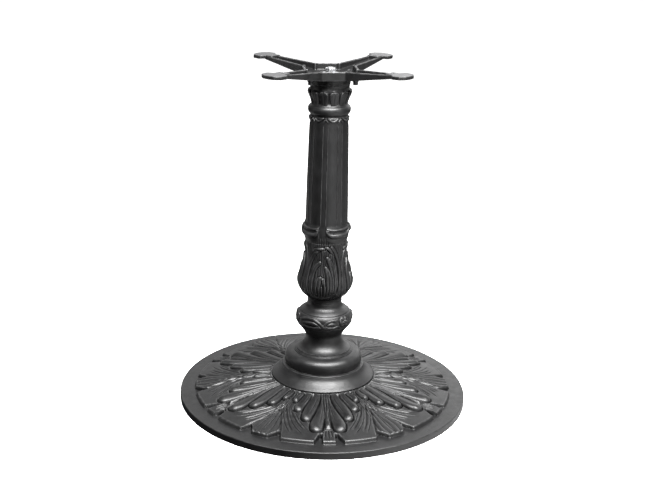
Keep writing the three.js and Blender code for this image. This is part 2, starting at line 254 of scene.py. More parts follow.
def nearest(x, y, spine):
    """The nearest point of a spine of [x, y, half width, rise] points: distance as a share of the half
    width, the same sideways with its sign, the half width, the rise, and how far along it is."""
    share = np.full(x.shape, 99.0)
    sideways = np.zeros(x.shape)
    half = np.ones(x.shape)
    rise = np.zeros(x.shape)
    along = np.zeros(x.shape)
    steps = np.gradient(spine[:, :2], axis=0)
    for i, (cx, cy, width, up) in enumerate(spine):
        dx, dy = steps[i] / np.hypot(*steps[i])
        here = np.hypot(x - cx, y - cy) / width
        closer = here < share
        share = np.where(closer, here, share)
        sideways = np.where(closer, (dy * (x - cx) - dx * (y - cy)) / width, sideways)
        half = np.where(closer, width, half)
        rise = np.where(closer, up, rise)
        along = np.where(closer, i / (len(spine) - 1), along)
    return share, sideways, half, rise, along


def groove(x, y, depth, width, path):
    """A soft channel along the path that fades out at both ends."""
    line = flowing([[a, b, 1, 0] for a, b in path], 1.5)
    distance, _, _, _, along = nearest(x, y, line)
    return -depth * bump(distance, width) * soft(0, 0.15, along) * soft(1, 0.85, along)


def finger(height, x, y, spine):
    """Lays one spoon-shaped finger on the height field, highest towards its outer side, with a groove
    round it."""
    share, sideways, half, rise, along = nearest(x, y, flowing(spine, 1.0))
    within = (1 - share) * half
    flutes = 1.1 * bump((sideways + 0.42) * half, 0.9) * soft(0.95, 0.55, along) * soft(0.12, 0.3, along)
    crest = 0.2 + rise * np.clip(1 - share ** 2, 0, 1) ** 0.62 * (1 + 0.3 * sideways) - flutes
    height = np.where(within > 0, np.maximum(crest, height), height)
    return height - 2.6 * bump(within + 0.9, 1.5)


def slot_inside(x, y, corners):
    """How far a point is inside a slot, mm; negative outside."""
    inside = np.full(x.shape, 99.0)
    heart = np.mean(corners, axis=0)
    for (ax, ay), (bx, by) in zip(corners, corners[1:] + corners[:1]):
        length = math.hypot(bx - ax, by - ay)
        nx, ny = (ay - by) / length, (bx - ax) / length
        sign = 1 if nx * (heart[0] - ax) + ny * (heart[1] - ay) > 0 else -1
        inside = np.minimum(inside, sign * (nx * (x - ax) + ny * (y - ay)))
    return inside


def side_reeds(radius, angle):
    """Bundle of reeds between two main leaves, fanning out into its own tab."""
    across = radius * np.sin(np.radians(HALF_LEAF - angle))
    outward = radius * np.cos(np.radians(HALF_LEAF - angle))
    spread = 5.5 + 25 * np.clip((outward - 130) / 120, 0, 1) ** 1.4
    curve = across / spread * 2.5 + 0.25 * np.sin((outward - 120) / 24)
    reed = dome(curve % 1 - 0.5, 0.5, 1.6)
    within = soft(1.12, 0.9, across / spread)
    return within * (1.9 * reed - 1.0 + 1.2 * soft(185, 140, outward))


def midrib(height, x, y):
    """Lays a main leaf's midrib: twin ridges that join and swell before the middle tab."""
    twin = 2.3 * dome(x - 2.3, 2.1) * soft(177, 169, y)
    single = (2.2 + 2.8 * soft(172, 216, y)) * dome(x, 2.4 + 3.0 * soft(188, 220, y), 1.7)
    rib = np.maximum(twin, single * soft(166, 176, y) * soft(233, 225, y))
    return np.where((y < 235) & (x < 6), np.maximum(height * soft(2.5, 5.0, x), rib), height)


def leaf_height(radius, angle):
    """Relief above the plate's cone between a main leaf's middle and its side."""
    x = radius * np.sin(np.radians(angle))
    y = radius * np.cos(np.radians(angle))
    height = side_reeds(radius, angle)
    for depth, width, path in PANEL_GROOVES + FAN_GROOVES:
        height += groove(x, y, depth, width, path)
    for spine in FINGERS:
        height = finger(height, x, y, spine)
    return midrib(height, x, y) * soft(108, 117, radius)


def plate_height(radius, angle):
    """Height of the plate's top between a main leaf's middle and its side."""
    slope = (CONE_TOP - TAB_EDGE) / (TAB_RADIUS - 1.5 - CONE_INNER)
    cone = TAB_EDGE + (TAB_RADIUS - 1.5 - radius) * slope
    x = radius * np.sin(np.radians(angle))
    y = radius * np.cos(np.radians(angle))
    wall = soft(0.4, TAB_DRAFT, TAB_RADIUS - radius)
    for corners in SLOTS:
        wall = np.minimum(wall, soft(0.2, 1.8, -slot_inside(x, y, corners)))
    border = BORDER_OUTER + (BORDER_INNER - BORDER_OUTER) * soft(BASE_RADIUS - 3, TAB_RADIUS, radius)
    raised = cone + leaf_height(radius, angle) - border
    lip = 0.45 * bump(TAB_RADIUS - radius - TAB_DRAFT - 1.2, 0.9) * wall
    ring = 1.5 * bump(radius - 111.4, 1.4)
    return border + raised * wall + lip + ring


def base_plate():
    """Round foot plate with six main leaves, side panels, reeds and tabs on a flat border."""
    edge = [[BASE_RADIUS, 0], [BASE_RADIUS, BORDER_OUTER], [BASE_RADIUS - 5, BORDER_OUTER]]
    rim = rounded(edge, 2.6, 0.8)
    border = np.linspace(BASE_RADIUS - 6, 282, 8)
    tabs = np.arange(281.2, 226, -0.7)
    leaves = np.arange(226, CONE_INNER, -1.0)
    radii = np.concatenate([border, tabs, leaves])
    steps = PLATE_COLUMNS // (2 * LEAVES)
    half = plate_height(radii[:, None], np.linspace(0, HALF_LEAF, steps + 1)[None, :])
    sector = np.hstack([half, half[:, -2:0:-1]])
    top = np.tile(sector, (1, LEAVES))
    underside = [
        [CONE_INNER, CONE_TOP], [97, 48], [96, 52], [85, 52], [85, 48], [6.5, 48], [6.5, 42], [104, 42],
        [225, 20], [238, 10], [299, 9], [299, 0],
    ]
    radius = np.concatenate([rim[:, 0], radii, [r for r, _ in underside]])
    height = np.vstack([
        np.repeat(rim[:, 1:], PLATE_COLUMNS, 1),
        top,
        np.repeat(np.array([[z] for _, z in underside], float), PLATE_COLUMNS, 1),
    ])
    azimuth = np.radians(angles(PLATE_COLUMNS))
    reach = radius[:, None]
    points = np.stack([reach * np.sin(azimuth), -reach * np.cos(azimuth), height], -1)
    return grid_object("foot_plate", points)


# ---- plinth ----------------------------------------------------------------------------------------
def plinth_skirt():
    """Conical moulding with a fine bead under the dome."""
    outside = np.vstack([
        rounded([[106, SEAT], [108.5, SEAT], [108.5, 50.6], [105, 53.2]], 1.0),
        flowing([[104.6, 53.5], [99.5, 57.2], [94.6, 61.2], [90.6, 65.6], [88.4, 69.2], [87.6, 71]], 0.9),
        rounded([[87.6, 71.2], [86.9, 72.2], [86.5, 74.8], [84.6, 75.4], [82.5, SKIRT_TOP]], 1.0),
    ])
    inside = [[66, SKIRT_TOP], [66, 68.5], [78, 68.5], [97.3, 56], [97.3, SEAT]]
    return turned("skirt_moulding", outside, inside, PLAIN_COLUMNS)


def plinth_dome():
    """Drum with a rounded shoulder, a fine step and the seat of the column."""
    outside = np.vstack([
        rounded([[79.5, SKIRT_TOP + SEAM], [80.9, SKIRT_TOP + SEAM], [81.3, 79]], 0.8),
        flowing([[81.6, 81], [82, 86], [81.8, 91.5], [80, 96.6], [76.5, 100.6], [71.5, 103.2], [66, 104.4],
                 [62.6, 104.8]], 0.9),
        rounded([[62.3, 104.8], [61.9, 106.2], [60.2, 106.3], [59.6, 107.7], [57.3, 107.8],
                 [57, DOME_TOP]], 0.3, 0.35),
    ])
    inside = [
        [BORE, DOME_TOP], [BORE, 101], [60, 97], [71, 88], [71, 82.8], [59.7, 82.8], [59.7, 69.8],
        [65.7, 69.8], [65.7, 75.8],
    ]
    return turned("dome_casting", outside, inside, PLAIN_COLUMNS)


# ---- column ----------------------------------------------------------------------------------------
def laid(push, angle, height, paths, scale, gain=1.0):
    """Lays rounded ridges on a relief. Each path is [degrees, height, half width, rise] from tip to root;
    scale is millimetres per degree at that girth, and gain makes every ridge bolder."""
    for path in paths:
        line = flowing([[a * scale, z, half, rise] for a, z, half, rise in path], 0.8)
        share, _, half, rise, _ = nearest(angle * scale, height, line)
        push = np.where(share < 1, np.maximum(push, gain * rise * dome(share, 1, 2.2)), push)
        push = push - 1.2 * gain * bump((share - 1) * half - 0.5, 0.6)
    return push


# Wreath of one third of the knop, degrees from the crossing, height, half width and rise.
WREATH = [
    [[-46, 179, 1.2, 0.8], [-37, 180.6, 2.8, 1.7], [-27, 181.3, 3.6, 2.3], [-17, 180.6, 3.4, 2.6],
     [-9, 177.5, 1.6, 1.2]],
    [[28, 179, 1.4, 0.8], [21, 180.6, 3.0, 2.0], [15, 180.8, 3.4, 2.4], [9.5, 179.4, 2.6, 2.0],
     [6.5, 177.8, 1.2, 1.0]],
    [[31, 188.5, 2.4, 1.6], [20, 188, 2.8, 2.1], [12, 187, 3.0, 2.4], [6, 184, 3.0, 2.2],
     [0, 178, 3.0, 1.8], [-6, 174.3, 2.6, 1.8], [-14, 172.4, 2.4, 1.8], [-27, 171, 2.4, 1.8],
     [-42, 171.5, 2.2, 1.6], [-56, 174, 2, 1]],
    [[3, 176, 2.2, 1.6], [10, 173, 2.4, 1.8], [20, 172, 2.4, 1.8], [31, 174, 2.2, 1.4]],
    [[-56, 184, 2.2, 1.2], [-44, 188.5, 2.6, 2.0], [-30, 190.5, 3.0, 2.4], [-20, 189, 3.2, 2.6],
     [-9, 183.3, 3.2, 3.0], [-1, 176, 3.2, 2.8], [7, 169.5, 2.6, 1.0]],
]


def rosette(push, across, rise):
    """Cuts a round field into the relief and lays a six-petalled flower in it."""
    petal = np.hypot(across, rise)
    around = np.arctan2(rise, across)
    bloom = (0.72 + 0.28 * np.cos(6 * around)) * dome(petal, 12.6)
    push = np.where(petal < 14, np.minimum(push, 0.6), push)
    push = np.maximum(push, 3.0 * bloom - 1.3 * bump(petal - 4.6, 0.9))
    push = np.maximum(push, 2.8 * dome(petal, 3.6))
    return push - 1.0 * bump(petal - 13.4, 0.9)


def wreath(angle, height):
    """Crossed ribbons, almond leaves and rosettes round the widest part of the knop."""
    third = 120
    scale = 1.05
    push = laid(np.zeros(angle.shape), folded(angle, third), height, WREATH, scale)
    push = rosette(push, folded(angle - 47, third) * scale, height - 182)
    hem = 1.1 * bump(height - 166.5 - 1.0 * np.cos(np.radians(angle * 15)), 1.4)
    band = soft(163, 168, height) * soft(194.5, 191, height)
    return push * band + hem - 0.9 * bump(height - 195.4, 0.8)


def knop():
    """Flared foot, slim waist and wreathed knop."""
    outside = np.vstack([
        rounded([[55, DOME_TOP + SEAM], [57, DOME_TOP + SEAM], [57, 110.6]], 0.6),
        flowing([[56.6, 110.8], [52.5, 112.4], [47.5, 115.8], [42.6, 122], [39.6, 129], [38.2, 136],
                 [37.9, 141]], 1.0),
        rounded([[38, 141.6], [39.8, 142.2], [40.1, 144]], 0.6),
        flowing([[40.4, 144.4], [43.5, 149.5], [47.6, 155], [51.4, 160], [54.4, 164.5], [56.8, 169],
                 [58.2, 173], [58.9, 177], [59, 181], [58.6, 185], [57.4, 189], [55, 193], [51.6, 196.4],
                 [47, 199.6], [42.5, 202.2], [39.2, 205], [37.3, 208.4], [36.5, 212.6]], 0.6),
        rounded([[36.5, 213.2], [36.5, KNOP_TOP], [34, KNOP_TOP]], 0.4),
    ])
    chamber = [[BORE, 198], [45, 191], [52, 182], [50, 168], [40, 156], [BORE, 148]]
    inside = column_inside(DOME_TOP + SEAM, KNOP_TOP, chamber)
    return turned("wreathed_knop", outside, inside, CARVED_COLUMNS, wreath, KNOP_TURN)


# Ridges of one clasping leaf, outermost first: degrees from its axis, height, half width and rise.
LEAF_RIDGES = [
    [[-17, 338, 4.7, 2.4], [-28, 328, 4.7, 2.4], [-35.5, 315, 4.4, 2.2], [-40, 300, 4, 2.1],
     [-41.5, 280, 3.8, 2], [-40.5, 258, 3.5, 1.2], [-37, 240, 2.6, 0.6]],
    [[20, 343, 4.9, 2.4], [29, 334, 4.7, 2.4], [35.5, 321, 4.4, 2.2], [39.5, 306, 4, 2.1],
     [40, 288, 3.8, 2.1], [37.5, 268, 3.5, 1.6], [34, 248, 2.6, 0.6]],
    [[-11, 311, 4.4, 2.4], [-19, 304, 4, 2.6], [-25, 291, 3.8, 2.4], [-27.5, 274, 3.8, 2.2],
     [-27.5, 256, 3.5, 1.6], [-25.5, 240, 2.6, 0.6]],
    [[13, 318, 4.4, 2.4], [20, 308, 4, 2.9], [25, 294, 4, 2.8], [26.5, 276, 3.8, 2.4],
     [25, 256, 3.5, 1.6], [22.5, 240, 2.6, 0.6]],
    [[8.5, 321, 4.4, 2.4], [13.5, 310, 3.8, 2.8], [18, 296, 3.8, 2.4], [20, 278, 3.5, 2.2],
     [19, 250, 3.2, 1]],
    [[7.5, 298, 4, 2.4], [12.5, 290, 3.8, 2.9], [15.4, 278, 3.8, 2.8], [15.4, 262, 3.5, 2],
     [13.5, 242, 2.6, 0.6]],
    [[4.5, 301, 4, 2.4], [7, 290, 3.8, 2.9], [9, 278, 3.5, 2.4], [9.5, 262, 3.2, 1.8],
     [8, 242, 2.6, 0.6]],
    [[-9.5, 279, 4, 2.4], [-14, 270, 3.5, 2.4], [-16.5, 258, 3.5, 2], [-16, 240, 2.6, 0.6]],
    [[-7, 280, 4, 2.4], [-9, 268, 3.5, 2.6], [-10.5, 256, 3.2, 2], [-10, 240, 2.6, 0.6]],
    [[-1, 278, 3.8, 2.4], [1.5, 268, 3.2, 2.6], [3, 256, 3.2, 2], [2.5, 240, 2.6, 0.6]],
    [[-4, 262, 2, 1.4], [-4, 250, 2, 1.4], [-3.8, 240, 1.8, 0.6]],
]
LEAF_CURLS = [
    [[-29, 338, 3.0, 2.4], [-20, 339.5, 3.8, 4.0], [-9, 340.5, 3.8, 4.2], [-1, 341, 3.2, 3.0]],
    [[3, 344, 2.6, 2.6], [8, 343, 3.6, 4.0], [14, 339, 3.6, 3.8], [20, 333, 3.0, 2.4]],
]


def fine_reeds(angle):
    """Fourteen or so narrow reeds in each quarter of the column, 0 between them and 1 on top."""
    return dome((np.abs(folded(angle, 90)) / 6.4 + 0.5) % 1 - 0.5, 0.5)


def clasping_leaves(angle, height):
    """Four broad leaves, each of overlapping ridged lobes, over a reeded vase."""
    side = folded(angle, 90)
    plain = (0.3 + 1.3 * fine_reeds(angle)) * soft(224, 236, height)
    plain -= 2.4 * soft(43, 39, np.abs(side)) * soft(236, 250, height) * soft(338, 306, height)
    lean = side - 3.0 - 1.2 * np.sin((height - 250) / 11)
    spine = -1.4 * bump(lean * 0.95 + 3.6, 1.2) * soft(246, 256, height) * soft(340, 330, height)
    push = laid(plain, side, height, LEAF_RIDGES, 0.95, 1.35) + spine
    return laid(push, side, height, LEAF_CURLS, 0.8, 1.1)


def vase():
    """Swelling vase with four clasping leaves."""
    foot = KNOP_TOP + SEAM
    outside = np.vstack([
        rounded([[34, foot], [36.6, foot], [36.7, 219], [36.2, 220.6]], 0.5),
        flowing([[36.2, 221], [38, 226], [42.4, 231.5], [47, 236.5], [50.9, 241.5], [53.7, 246.5],
                 [55.5, 252], [56.3, 258], [56.1, 264], [54.9, 271], [52.9, 278], [51, 285], [49.2, 292],
                 [47.4, 299], [45.6, 306], [44.4, 314], [43.7, 322], [43, 331], [42.3, 340], [42, 347]], 0.7),
        rounded([[41.9, 347.4], [42.4, VASE_TOP], [38, VASE_TOP]], 0.6),
    ])
    chamber = [[35, 335], [37, 310], [43, 285], [48, 262], [44, 247], [BORE, 236]]
    inside = column_inside(foot, VASE_TOP, chamber)
    return turned("leaf_vase", outside, inside, VASE_COLUMNS, clasping_leaves, VASE_TURN)


def flute_relief(angle, height):
    """Eight flutes with raised edges, sagging lips over their heads and slanting leaf tips beside them."""
    fillet = np.abs(folded(angle, 45))
    flute = folded(angle + 22.5, 45)
    side = np.abs(flute)
    head = 603 - 5 * (1 - dome(flute, 15))
    run = soft(head + 0.5, head - 4, height) * soft(386, 392, height)
    push = -4.1 * np.clip(1 - (flute / 14) ** 2, 0, 1) * run
    push += 0.8 * bump(fillet - 7.0, 0.9) * run
    over = height - (604.5 + 6.5 * (side / 15) ** 2)
    lip = np.maximum(1.2 * soft(-0.6, 1.1, over), 2.9 * dome(over - 1.4, 2.0))
    push += lip * soft(17, 14, side) * soft(614, 610, height)
    slant = height - 606.5 - 0.75 * (side - 18.5)
    tip = 2.2 * dome(slant, 2.2) * soft(14.0, 15.5, side) * soft(22.6, 21.6, side)
    return np.maximum(push, tip)


def cuff_relief(angle, height):
    """Four double-rolled cuffs with curled ends, and the thin skirt that hangs under each."""
    place = np.abs(folded(angle - 45, 90))
    low = 369.0 + 8.5 * (place / 34) ** 5
    high = 381.0 + 3.0 * (place / 35) ** 3
    cuff = 6.3 * dome(height - low, 5.4)
    cuff = np.maximum(cuff, 4.8 * dome(height - high, 3.2))
    cuff = np.maximum(cuff, 2.0 * soft(low - 1, low + 1, height) * soft(high + 1, high - 1, height))
    cuff *= soft(36.2, 34.2, place)
    curl = np.hypot((place - 31.5) * 0.8, height - 380.5)
    cuff = np.maximum(cuff, 6.0 * dome(curl, 4.4) - 1.8 * bump(curl - 2.1, 0.8) * (curl < 4.4))
    under = 364.5 - 0.42 * (45 - place)
    skirt = 1.2 * soft(under - 1.2, under + 0.8, height) * soft(391, 384, height) * soft(37, 34, place)
    return np.maximum(cuff, skirt)


def scrolls_and_flutes(angle, height):
    """Flutes above a band of cuffs, with the vase's reeds running up under the cuffs."""
    reeds = (1.3 * fine_reeds(angle + SHAFT_TURN - VASE_TURN) - 0.4) * soft(367, 362, height)
    return np.maximum(flute_relief(angle, height) + reeds, cuff_relief(angle, height))


def shaft():
    """Tapered fluted shaft standing on its band of cuffs."""
    foot = VASE_TOP + SEAM
    outside = np.vstack([
        rounded([[38, foot], [42.6, foot], [42.9, 352]], 0.6),
        flowing([[43, 352.6], [44.6, 357], [45.6, 362], [46, 368], [45.6, 374], [44.8, 380], [43.9, 386],
                 [43.5, 392]], 0.6),
        straight([[43.4, 393], [42.9, 420], [41.9, 475], [40.7, 525], [39.7, 570], [38.7, 600]], 1.2),
        straight([[38.7, 601], [38.3, 612.4]], 0.6),
        rounded([[38.3, 612.5], [38.3, SHAFT_TOP], [35, SHAFT_TOP]], 0.3),
    ])
    inside = column_inside(foot, SHAFT_TOP, [[32, 600], [34, 400], [32, 362]])
    return turned("fluted_column", outside, inside, CARVED_COLUMNS, scrolls_and_flutes, SHAFT_TURN)


def bell_leaves(angle, height):
    """Twelve leaves, narrow at the foot, whose round tops curl out."""
    side = np.abs(folded(angle, 30)) / (0.68 + 0.32 * soft(638, 656, height))
    edge = 665.5 - 6.5 * (side / 13) ** 3
    swell = 0.9 + 3.3 * np.clip((height - 640) / 21, 0, 1) ** 1.8
    blade = swell * soft(1.4, -1.6, height - edge) * soft(13.6, 11.4, side)
    vein = 0.5 * bump(side, 1.6) * soft(1, -1, height - edge)
    gap = 1.4 * soft(12.4, 14.6, side) * soft(666, 658, height)
    return (blade - vein - gap) * soft(636.5, 640.5, height)


def capital():
    """Necking ring and bell of leaves under the spider."""
    foot = SHAFT_TOP + SEAM
    outside = np.vstack([
        rounded([[36, foot], [38.2, foot], [38.4, 615.6]], 0.5),
        flowing([[38.6, 616], [41, 618.2], [42.8, 621.6], [43.4, 625.5], [42.8, 629.2], [41.2, 632.4],
                 [38.8, 634.2]], 0.6),
        rounded([[38.4, 634.4], [37.6, 635], [36.6, 637.4]], 0.4),
        flowing([[36.6, 638], [37.2, 643], [38.8, 650], [40.2, 656], [40.7, 661], [40.3, 666], [39.6, 671],
                 [40.2, 675.6]], 0.6),
        rounded([[40.4, 676], [40.8, CAPITAL_TOP], [38, CAPITAL_TOP]], 0.5),
    ])
    inside = column_inside(foot, CAPITAL_TOP)
    return turned("leaf_capital", outside, inside, CARVED_COLUMNS, bell_leaves, CAPITAL_TURN)


# ---- spider ----------------------------------------------------------------------------------------
# small upright posts in the corners of the hub's walls
POST_ACROSS = 24.4
POST_OUT = 49.8
POST_LOW = 693
POST_HIGH = 708.8
POST_RADIUS = 2.3
VOXEL = 1.0


def upright_rod(work, x, y, low, high, radius):
    """Adds a plain upright rod to a bmesh, mm."""
    made = bmesh.ops.create_cone(
        work, cap_ends=True, segments=24, radius1=radius * MM, radius2=radius * MM, depth=(high - low) * MM,
    )
    bmesh.ops.translate(work, verts=made["verts"], vec=Vector((x, y, (low + high) / 2)) * MM)


def spider():
    """The four arms and their hub: the frame's shape with small posts in the hub corners, its edges
    rounded over as a sand casting's are."""
    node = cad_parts["spider"]
    work = bmesh.new()
    work.from_mesh(node.data)
    work.transform(node.matrix_world)
    for quarter in range(4):
        for side in (-1, 1):
            corner = Vector((side * POST_ACROSS, POST_OUT, 0))
            corner.rotate(Euler((0, 0, math.radians(90 * quarter + SPIDER_TURN))))
            upright_rod(work, corner.x, corner.y, POST_LOW, POST_HIGH, POST_RADIUS)
    mesh = bpy.data.meshes.new("spider_casting")
    work.to_mesh(mesh)
    work.free()
    shape = bpy.data.objects.new("spider_casting", mesh)
    bpy.context.scene.collection.objects.link(shape)
    remesh = shape.modifiers.new("one_skin", "REMESH")
    remesh.mode = "VOXEL"
    remesh.voxel_size = VOXEL * MM
    remesh.use_smooth_shade = True
    soften = shape.modifiers.new("cast_edges", "SMOOTH")
    soften.factor = 0.5
    soften.iterations = 3
    return shape


# ---- fasteners and feet ----------------------------------------------------------------------------
ROD = {"radius": 6, "pitch": 1.75, "hole": 6.3, "nut_across": 19}
STUD = {"radius": 4, "pitch": 1.25, "collar": (5.9, 7.9), "collar_across": 13}
THREAD_DEPTH = 0.55  # share of the pitch
CAP_HOLE = 0.02  # a bar's ends are drawn in to this share of its radius


def spun(name, outline, centre, columns=96, sides=0, turn=0.0):
    """A closed piece turned about an upright axis at centre. Rows of the outline are [radius, height]
    or [radius, height, across flats], the last kept inside a prism with that many sides."""
    azimuth = np.radians(angles(columns) + turn)
    rows = []
    for row in outline:
        radius = np.full(columns, float(row[0]))
        if len(row) > 2:
            within = np.radians(folded(angles(columns), 360 / sides))
            radius = np.minimum(radius, row[2] / 2 / np.cos(within))
        rows.append(np.stack([
            centre[0] + radius * np.sin(azimuth),
            centre[1] - radius * np.cos(azimuth),
            np.full(columns, float(row[1])),
        ], -1))
    return grid_object(name, np.array(rows))


def hex_nut(name, low, high, hole, across, centre, turn=0.0):
    """Hexagon nut with chamfered corners and a countersunk hole."""
    corner = across / math.sqrt(3)
    flat = across / 2
    rise = (corner - flat) * 0.55
    sheet = []
    for share in np.linspace(0, 1, 6):
        sheet.append([flat - 0.3 + (corner - flat + 0.3) * share, low + rise * share, across])
    body = sheet + [[corner, (low + high) / 2, across]]
    body += [[r, low + high - z, a] for r, z, a in reversed(sheet)]
    outline = [[hole + 0.8, low]] + body + [[hole + 0.8, high], [hole, high - 0.7], [hole, low + 0.7]]
    return spun(name, outline, centre, 144, 6, turn)


def plain_washer(name, low, high, hole, radius, centre):
    """Flat washer with slightly rolled edges."""
    edge = 0.35
    outline = [
        [hole + 0.2, low], [radius - edge, low], [radius - 0.1, low + 0.1], [radius, low + edge],
        [radius, high - edge], [radius - 0.1, high - 0.1], [radius - edge, high],
        [hole + 0.2, high], [hole, high - 0.2], [hole, low + 0.2],
    ]
    return spun(name, outline, centre, 120)


def threaded(name, radius, low, high, pitch, threads, centre):
    """Round bar with a helical thread over the stretches given as [from, to], and small end chamfers."""
    heights = []
    z = low
    while z < high:
        heights.append(z)
        near = any(start - 1 < z < stop + 1 for start, stop in threads)
        z += pitch / 6 if near else 12
    heights = np.array(heights + [high])[:, None]
    around = angles(48)[None, :]
    wave = np.abs(((heights / pitch - around / 360) % 1) * 2 - 1)
    on = np.zeros(heights.shape)
    for start, stop in threads:
        on = np.maximum(on, soft(start, start + pitch, heights) * soft(stop, stop - pitch, heights))
    end = np.minimum(heights - low, high - heights)
    reach = radius - THREAD_DEPTH * pitch * wave * on - 0.8 * soft(1.2, 0, end)
    azimuth = np.radians(around)
    rows = np.stack([
        centre[0] + reach * np.sin(azimuth),
        centre[1] - reach * np.cos(azimuth),
        heights + 0 * azimuth,
    ], -1)
    axis = np.array([centre[0], centre[1], 0])
    cap_low = axis + (rows[:1] * [1, 1, 0] + [0, 0, low] - axis) * [CAP_HOLE, CAP_HOLE, 1]
    cap_high = axis + (rows[-1:] * [1, 1, 0] + [0, 0, high] - axis) * [CAP_HOLE, CAP_HOLE, 1]
    return grid_object(name, np.vstack([cap_low, rows, cap_high]))


def tie_rod_set():
    """Central rod with a washer and nut at each end."""
    centre = middle("tie_rod")
    low, high = levels("tie_rod")
    threads = [[low, 60], [688, high]]
    rod = threaded("centre_rod", ROD["radius"], low, high, ROD["pitch"], threads, centre)
    hole = ROD["hole"]
    across = ROD["nut_across"]
    return {
        "tie_rod": rod,
        "top_washer": plain_washer("seat_washer", *levels("top_washer"), hole, 18, centre),
        "top_nut": hex_nut("seat_nut", *levels("top_nut"), hole, across, centre, 14),
        "bottom_washer": plain_washer("plate_washer", *levels("bottom_washer"), hole, 30, centre),
        "bottom_nut": hex_nut("plate_nut", *levels("bottom_nut"), hole, across, centre, 9),
    }


def arm_screw(index):
    """Socket cap screw under one arm, with its washer."""
    centre = middle(f"arm_screw_{index}")
    low, high = levels(f"arm_screw_{index}")
    head = low + 6
    key = 5  # across the flats of the socket
    outline = [
        [2.5, low, key], [4.2, low], [4.8, low + 0.3], [5, low + 0.8], [5, head - 0.4], [4.8, head],
        [3, head], [3, high - 0.5], [2.6, high], [0.02, high], [0.02, low + 3], [2.9, low + 3, key],
        [2.9, low + 0.2, key],
    ]
    screw = spun(f"cap_screw_{index}", outline, centre, 96, 6)
    washer = plain_washer(f"cap_washer_{index}", *levels(f"arm_washer_{index}"), 3.3, 6, centre)
    return {f"arm_screw_{index}": screw, f"arm_washer_{index}": washer}


def foot_pad(index):
    """Moulded glide with a socket for the stud's foot."""
    low, high = levels(f"foot_pad_{index}")
    socket = low + 2
    outline = rounded([
        [0.02, low], [13.2, low], [15, low + 1.4], [15, high - 1.3], [13.4, high - 0.2], [9, high],
        [4.3, high], [4.3, socket], [0.02, socket],
    ], 0.5)
    return spun(f"foot_glide_{index}", outline, middle(f"foot_pad_{index}"), 96)


def foot_stud(index):
    """Threaded stud with a hexagon collar."""
    low, high = levels(f"foot_stud_{index}")
    radius = STUD["radius"]
    across = STUD["collar_across"]
    under, over = STUD["collar"]
    collar = [
        [radius, under], [6.2, under, across], [7.2, under + 0.5, across], [7.2, over - 0.5, across],
        [6.2, over, across], [radius, over],
    ]
    thread = []
    for z in np.arange(over + 0.3, high - 0.5, 0.2):
        thread.append([radius - 0.5 * abs((z / STUD["pitch"] % 1) * 2 - 1), z])
    foot_end = [[0.02, low], [radius - 0.4, low], [radius, low + 0.4]]
    outline = foot_end + collar + thread + [[radius - 0.6, high], [0.02, high]]
    return spun(f"foot_screw_{index}", outline, middle(f"foot_stud_{index}"), 72, 6)


# ---- materials -------------------------------------------------------------------------------------
RUBBED_GREY = (0.03, 0.03, 0.031, 1)


def new_material(name):
    """A node material and its node tree."""
    material = bpy.data.materials.new(name)
    material.use_nodes = True
    return material, material.node_tree


def add(tree, kind, **values):
    """New shader node with its inputs set by name."""
    node = tree.nodes.new(kind)
    for key, value in values.items():
        node.inputs[key.replace("_", " ")].default_value = value
    return node


def feed(tree, value, socket):
    """Links another node's output to the socket, or sets the socket to a plain value."""
    if isinstance(value, bpy.types.NodeSocket):
        tree.links.new(value, socket)
    else:
        socket.default_value = value


def ramp(tree, source, stops):
    """Colour ramp of a source, from (position, grey or colour) pairs."""
    node = add(tree, "ShaderNodeValToRGB")
    elements = node.color_ramp.elements
    while len(elements) < len(stops):
        elements.new(0.5)
    for element, (position, colour) in zip(elements, stops):
        rgb = colour if isinstance(colour, tuple) else (colour, colour, colour)
        element.position = position
        element.color = (*rgb, 1)
    feed(tree, source, node.inputs["Fac"])
    return node.outputs["Color"]


def stretched(tree, source, low, high):
    """The source as a share of the way from low to high."""
    node = add(tree, "ShaderNodeMapRange", From_Min=low, From_Max=high)
    feed(tree, source, node.inputs["Value"])
    return node.outputs["Result"]


def times(tree, a, b):
    """Product of two numbers, each a node's output or a plain value."""
    node = add(tree, "ShaderNodeMath")
    node.operation = "MULTIPLY"
    feed(tree, a, node.inputs[0])
    feed(tree, b, node.inputs[1])
    return node.outputs[0]


def mix(tree, share, below, above, blend="MIX"):
    """Colour between below and above, each a node's output or a plain value."""
    node = add(tree, "ShaderNodeMix")
    node.data_type = "RGBA"
    node.blend_type = blend
    feed(tree, share, node.inputs["Factor"])
    feed(tree, below, node.inputs["A"])
    feed(tree, above, node.inputs["B"])
    return node.outputs["Result"]


def camera_sees(tree, seen, otherwise):
    """One shader for the camera and another for everything else."""
    path = add(tree, "ShaderNodeLightPath")
    pick = add(tree, "ShaderNodeMixShader")
    feed(tree, path.outputs["Is Camera Ray"], pick.inputs["Fac"])
    feed(tree, otherwise, pick.inputs[1])
    feed(tree, seen, pick.inputs[2])
    return pick.outputs["Shader"]


